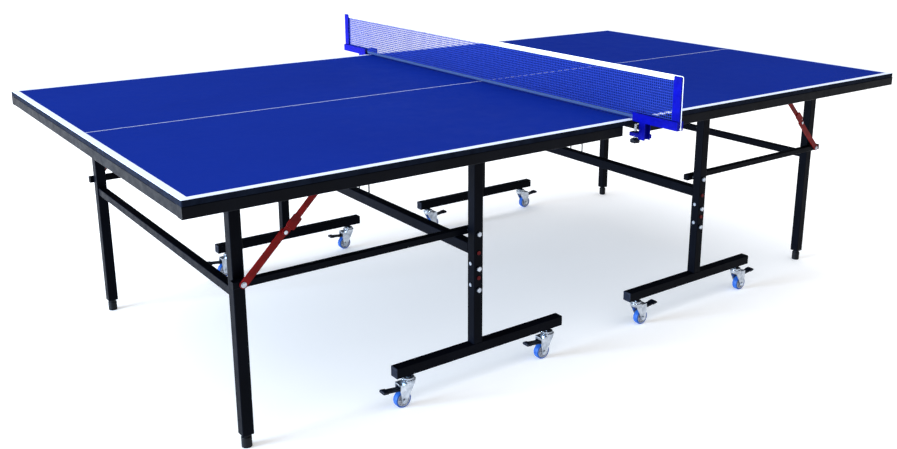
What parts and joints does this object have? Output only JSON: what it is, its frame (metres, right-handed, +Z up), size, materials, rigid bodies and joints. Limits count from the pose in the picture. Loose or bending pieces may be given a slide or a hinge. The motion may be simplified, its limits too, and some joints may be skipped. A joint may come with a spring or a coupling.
{
  "type": "ping pong table",
  "caption": "Full-size folding table tennis table: two blue halves on wheeled T stands and outer legs, with folding stays and a clamp-on net.",
  "frame": {"origin": "on the floor under the middle of the net", "axes": "+X along the table's length, +Y across it, +Z up"},
  "size_m": [2.74, 1.881, 0.9125],
  "materials": {
    "playing_surface": "satin",
    "frame_black": "satin",
    "zinc": "satin",
    "red_plastic": "satin",
    "red_enamel": "satin",
    "black_rubber": "matte",
    "blue_tyre": "satin",
    "black_plastic": "matte",
    "clamp_blue": "gloss",
    "chrome_steel": "polished",
    "net_cloth": "matte",
    "white_tape": "matte"
  },
  "bodies": {
    "left_stand": {"left_inner_leg_frame": "frame_black", "left_near_wheel_base": "frame_black", "left_far_wheel_base": "frame_black", "left_frame_bolts": "zinc", "left_hole_plugs": "red_plastic", "left_wire_catch": "frame_black"},
    "left_half_top": {"left_tabletop": "playing_surface", "left_rail_frame": "frame_black", "left_hinge_brackets": "frame_black"},
    "left_outer_legs": {"left_outer_leg_frame": "frame_black"},
    "left_links": {"left_link_bars": "frame_black"},
    "left_upper_stays": {"left_stay_upper": "red_enamel"},
    "left_lower_stays": {"left_stay_lower": "red_enamel"},
    "left_near_foot": {"left_near_levelling_foot": "black_rubber"},
    "left_near_inner_swivel": {"left_near_inner_caster_fork": "zinc"},
    "left_near_inner_roller": {"left_near_inner_wheel": "blue_tyre"},
    "left_near_inner_brake": {"left_near_inner_brake_pedal": "black_plastic"},
    "left_near_outer_swivel": {"left_near_outer_caster_fork": "zinc"},
    "left_near_outer_roller": {"left_near_outer_wheel": "blue_tyre"},
    "left_near_outer_brake": {"left_near_outer_brake_pedal": "black_plastic"},
    "left_far_foot": {"left_far_levelling_foot": "black_rubber"},
    "left_far_inner_swivel": {"left_far_inner_caster_fork": "zinc"},
    "left_far_inner_roller": {"left_far_inner_wheel": "blue_tyre"},
    "left_far_inner_brake": {"left_far_inner_brake_pedal": "black_plastic"},
    "left_far_outer_swivel": {"left_far_outer_caster_fork": "zinc"},
    "left_far_outer_roller": {"left_far_outer_wheel": "blue_tyre"},
    "left_far_outer_brake": {"left_far_outer_brake_pedal": "black_plastic"},
    "right_stand": {"right_inner_leg_frame": "frame_black", "right_near_wheel_base": "frame_black", "right_far_wheel_base": "frame_black", "right_frame_bolts": "zinc", "right_hole_plugs": "red_plastic", "right_wire_catch": "frame_black"},
    "right_half_top": {"right_tabletop": "playing_surface", "right_rail_frame": "frame_black", "right_hinge_brackets": "frame_black", "net_near_clamp": "clamp_blue", "net_far_clamp": "clamp_blue", "net_mesh": "net_cloth", "net_tape": "white_tape"},
    "right_outer_legs": {"right_outer_leg_frame": "frame_black"},
    "right_links": {"right_link_bars": "frame_black"},
    "right_upper_stays": {"right_stay_upper": "red_enamel"},
    "right_lower_stays": {"right_stay_lower": "red_enamel"},
    "right_near_foot": {"right_near_levelling_foot": "black_rubber"},
    "right_near_inner_swivel": {"right_near_inner_caster_fork": "zinc"},
    "right_near_inner_roller": {"right_near_inner_wheel": "blue_tyre"},
    "right_near_inner_brake": {"right_near_inner_brake_pedal": "black_plastic"},
    "right_near_outer_swivel": {"right_near_outer_caster_fork": "zinc"},
    "right_near_outer_roller": {"right_near_outer_wheel": "blue_tyre"},
    "right_near_outer_brake": {"right_near_outer_brake_pedal": "black_plastic"},
    "right_far_foot": {"right_far_levelling_foot": "black_rubber"},
    "right_far_inner_swivel": {"right_far_inner_caster_fork": "zinc"},
    "right_far_inner_roller": {"right_far_inner_wheel": "blue_tyre"},
    "right_far_inner_brake": {"right_far_inner_brake_pedal": "black_plastic"},
    "right_far_outer_swivel": {"right_far_outer_caster_fork": "zinc"},
    "right_far_outer_roller": {"right_far_outer_wheel": "blue_tyre"},
    "right_far_outer_brake": {"right_far_outer_brake_pedal": "black_plastic"},
    "net_near_screw": {"net_near_clamp_screw": "chrome_steel"},
    "net_far_screw": {"net_far_clamp_screw": "chrome_steel"}
  },
  "joints": [
    {"name": "fold_left_half", "type": "hinge", "parent": "left_stand", "child": "left_half_top", "pos_m": [-0.478, 0, 0.696], "axis": [0, 1, 0], "range_deg": [0, 90]},
    {"name": "fold_right_half", "type": "hinge", "parent": "right_stand", "child": "right_half_top", "pos_m": [0.478, 0, 0.696], "axis": [0, -1, 0], "range_deg": [0, 90]},
    {"name": "legs_left_swing", "type": "hinge", "parent": "left_half_top", "child": "left_outer_legs", "pos_m": [-1.172, 0, 0.696], "axis": [0, 1, 0], "range_deg": [-90, 0]},
    {"name": "links_left_swing", "type": "hinge", "parent": "left_stand", "child": "left_links", "pos_m": [-0.478, 0, 0.466], "axis": [0, 1, 0], "range_deg": [0, 90]},
    {"name": "stay_left_upper_swing", "type": "hinge", "parent": "left_half_top", "child": "left_upper_stays", "pos_m": [-0.942, 0, 0.696], "axis": [0, 1, 0], "range_deg": [0, 45]},
    {"name": "stay_left_lower_swing", "type": "hinge", "parent": "left_outer_legs", "child": "left_lower_stays", "pos_m": [-1.172, 0, 0.466], "axis": [0, 1, 0], "range_deg": [-45, 0]},
    {"name": "legs_right_swing", "type": "hinge", "parent": "right_half_top", "child": "right_outer_legs", "pos_m": [1.172, 0, 0.696], "axis": [0, -1, 0], "range_deg": [-90, 0]},
    {"name": "links_right_swing", "type": "hinge", "parent": "right_stand", "child": "right_links", "pos_m": [0.478, 0, 0.466], "axis": [0, -1, 0], "range_deg": [0, 90]},
    {"name": "stay_right_upper_swing", "type": "hinge", "parent": "right_half_top", "child": "right_upper_stays", "pos_m": [0.942, 0, 0.696], "axis": [0, -1, 0], "range_deg": [0, 45]},
    {"name": "stay_right_lower_swing", "type": "hinge", "parent": "right_outer_legs", "child": "right_lower_stays", "pos_m": [1.172, 0, 0.466], "axis": [0, -1, 0], "range_deg": [-45, 0]},
    {"name": "roll_right_stand", "type": "slide", "parent": "left_stand", "child": "right_stand", "axis": [1, 0, 0], "range_m": [0, 0.2985]},
    {"name": "foot_left_near_height", "type": "slide", "parent": "left_outer_legs", "child": "left_near_foot", "axis": [0, 0, -1], "range_m": [0, 0.015]},
    {"name": "foot_left_far_height", "type": "slide", "parent": "left_outer_legs", "child": "left_far_foot", "axis": [0, 0, -1], "range_m": [0, 0.015]},
    {"name": "foot_right_near_height", "type": "slide", "parent": "right_outer_legs", "child": "right_near_foot", "axis": [0, 0, -1], "range_m": [0, 0.015]},
    {"name": "foot_right_far_height", "type": "slide", "parent": "right_outer_legs", "child": "right_far_foot", "axis": [0, 0, -1], "range_m": [0, 0.015]},
    {"name": "net_clamp_near_screw", "type": "slide", "parent": "right_half_top", "child": "net_near_screw", "axis": [0, 0, 1], "range_m": [-0.02, 0]},
    {"name": "net_clamp_far_screw", "type": "slide", "parent": "right_half_top", "child": "net_far_screw", "axis": [0, 0, 1], "range_m": [-0.02, 0]},
    {"name": "pedal_left_near_inner", "type": "hinge", "parent": "left_near_inner_swivel", "child": "left_near_inner_brake", "pos_m": [-0.227, -0.62, 0.057], "axis": [0, -1, 0], "range_deg": [0, 12]},
    {"name": "pedal_left_near_outer", "type": "hinge", "parent": "left_near_outer_swivel", "child": "left_near_outer_brake", "pos_m": [-0.742, -0.62, 0.057], "axis": [0, -1, 0], "range_deg": [0, 12]},
    {"name": "pedal_left_far_inner", "type": "hinge", "parent": "left_far_inner_swivel", "child": "left_far_inner_brake", "pos_m": [-0.227, 0.62, 0.057], "axis": [0, -1, 0], "range_deg": [0, 12]},
    {"name": "pedal_left_far_outer", "type": "hinge", "parent": "left_far_outer_swivel", "child": "left_far_outer_brake", "pos_m": [-0.742, 0.62, 0.057], "axis": [0, -1, 0], "range_deg": [0, 12]},
    {"name": "pedal_right_near_inner", "type": "hinge", "parent": "right_near_inner_swivel", "child": "right_near_inner_brake", "pos_m": [0.227, -0.62, 0.057], "axis": [0, 1, 0], "range_deg": [0, 12]},
    {"name": "pedal_right_near_outer", "type": "hinge", "parent": "right_near_outer_swivel", "child": "right_near_outer_brake", "pos_m": [0.742, -0.62, 0.057], "axis": [0, 1, 0], "range_deg": [0, 12]},
    {"name": "pedal_right_far_inner", "type": "hinge", "parent": "right_far_inner_swivel", "child": "right_far_inner_brake", "pos_m": [0.227, 0.62, 0.057], "axis": [0, 1, 0], "range_deg": [0, 12]},
    {"name": "pedal_right_far_outer", "type": "hinge", "parent": "right_far_outer_swivel", "child": "right_far_outer_brake", "pos_m": [0.742, 0.62, 0.057], "axis": [0, 1, 0], "range_deg": [0, 12]},
    {"name": "swivel_left_near_inner", "type": "hinge", "parent": "left_stand", "child": "left_near_inner_swivel", "pos_m": [-0.197, -0.62, 0.095], "axis": [0, 0, 1], "continuous": true},
    {"name": "swivel_left_near_outer", "type": "hinge", "parent": "left_stand", "child": "left_near_outer_swivel", "pos_m": [-0.712, -0.62, 0.095], "axis": [0, 0, 1], "continuous": true},
    {"name": "swivel_left_far_inner", "type": "hinge", "parent": "left_stand", "child": "left_far_inner_swivel", "pos_m": [-0.197, 0.62, 0.095], "axis": [0, 0, 1], "continuous": true},
    {"name": "swivel_left_far_outer", "type": "hinge", "parent": "left_stand", "child": "left_far_outer_swivel", "pos_m": [-0.712, 0.62, 0.095], "axis": [0, 0, 1], "continuous": true},
    {"name": "swivel_right_near_inner", "type": "hinge", "parent": "right_stand", "child": "right_near_inner_swivel", "pos_m": [0.197, -0.62, 0.095], "axis": [0, 0, 1], "continuous": true},
    {"name": "swivel_right_near_outer", "type": "hinge", "parent": "right_stand", "child": "right_near_outer_swivel", "pos_m": [0.712, -0.62, 0.095], "axis": [0, 0, 1], "continuous": true},
    {"name": "swivel_right_far_inner", "type": "hinge", "parent": "right_stand", "child": "right_far_inner_swivel", "pos_m": [0.197, 0.62, 0.095], "axis": [0, 0, 1], "continuous": true},
    {"name": "swivel_right_far_outer", "type": "hinge", "parent": "right_stand", "child": "right_far_outer_swivel", "pos_m": [0.712, 0.62, 0.095], "axis": [0, 0, 1], "continuous": true},
    {"name": "wheel_left_near_inner", "type": "hinge", "parent": "left_near_inner_swivel", "child": "left_near_inner_roller", "pos_m": [-0.219, -0.62, 0.025], "axis": [0, 1, 0], "continuous": true},
    {"name": "wheel_left_near_outer", "type": "hinge", "parent": "left_near_outer_swivel", "child": "left_near_outer_roller", "pos_m": [-0.734, -0.62, 0.025], "axis": [0, 1, 0], "continuous": true},
    {"name": "wheel_left_far_inner", "type": "hinge", "parent": "left_far_inner_swivel", "child": "left_far_inner_roller", "pos_m": [-0.219, 0.62, 0.025], "axis": [0, 1, 0], "continuous": true},
    {"name": "wheel_left_far_outer", "type": "hinge", "parent": "left_far_outer_swivel", "child": "left_far_outer_roller", "pos_m": [-0.734, 0.62, 0.025], "axis": [0, 1, 0], "continuous": true},
    {"name": "wheel_right_near_inner", "type": "hinge", "parent": "right_near_inner_swivel", "child": "right_near_inner_roller", "pos_m": [0.219, -0.62, 0.025], "axis": [0, 1, 0], "continuous": true},
    {"name": "wheel_right_near_outer", "type": "hinge", "parent": "right_near_outer_swivel", "child": "right_near_outer_roller", "pos_m": [0.734, -0.62, 0.025], "axis": [0, 1, 0], "continuous": true},
    {"name": "wheel_right_far_inner", "type": "hinge", "parent": "right_far_inner_swivel", "child": "right_far_inner_roller", "pos_m": [0.219, 0.62, 0.025], "axis": [0, 1, 0], "continuous": true},
    {"name": "wheel_right_far_outer", "type": "hinge", "parent": "right_far_outer_swivel", "child": "right_far_outer_roller", "pos_m": [0.734, 0.62, 0.025], "axis": [0, 1, 0], "continuous": true}
  ],
  "couplings": [
    {"joint": "legs_left_swing", "follows": "fold_left_half", "ratio": -1},
    {"joint": "links_left_swing", "follows": "fold_left_half", "ratio": 1},
    {"joint": "stay_left_upper_swing", "follows": "fold_left_half", "ratio": 0.5},
    {"joint": "stay_left_lower_swing", "follows": "fold_left_half", "ratio": -0.5},
    {"joint": "legs_right_swing", "follows": "fold_right_half", "ratio": -1},
    {"joint": "links_right_swing", "follows": "fold_right_half", "ratio": 1},
    {"joint": "stay_right_upper_swing", "follows": "fold_right_half", "ratio": 0.5},
    {"joint": "stay_right_lower_swing", "follows": "fold_right_half", "ratio": -0.5},
    {"joint": "roll_right_stand", "follows": "fold_right_half", "m_per_rad": 0.19}
  ]
}
